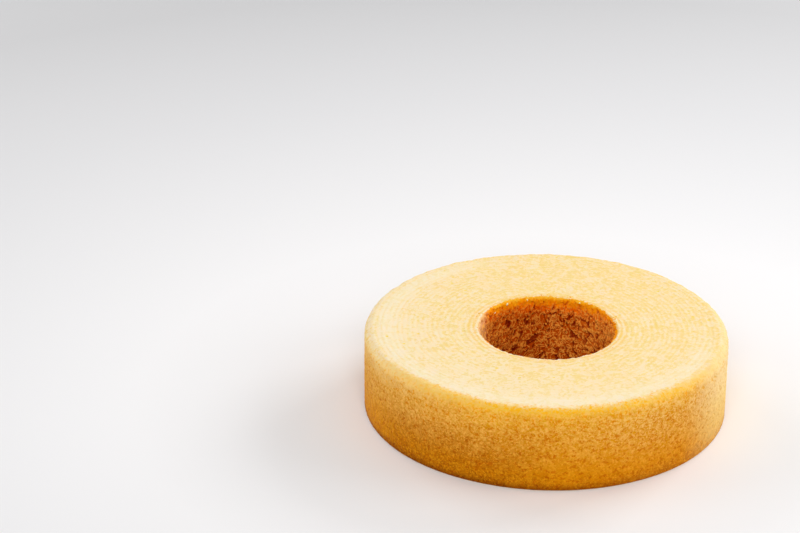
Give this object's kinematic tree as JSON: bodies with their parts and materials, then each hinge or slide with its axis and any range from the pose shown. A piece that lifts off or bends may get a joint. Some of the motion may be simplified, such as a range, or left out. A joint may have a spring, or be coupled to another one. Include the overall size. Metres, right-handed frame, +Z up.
{
  "type": "baumkuchen",
  "caption": "Low ring cake of thin baked layers with a wide centre hole, cut flat above and below, golden at its baked side; stands on its flat underside.",
  "frame": {"origin": "middle of the flat underside, on the axis of the centre hole", "axes": "+Z up along the axis of the centre hole; the cake is turned about it, so +X and +Y are any two level directions"},
  "size_m": [0.1503, 0.1506, 0.0356],
  "materials": {
    "cut_crumb": "matte",
    "baked_side": "matte",
    "hole_skin": "matte"
  },
  "bodies": {
    "root": {"cake": "cut_crumb"}
  },
  "joints": []
}
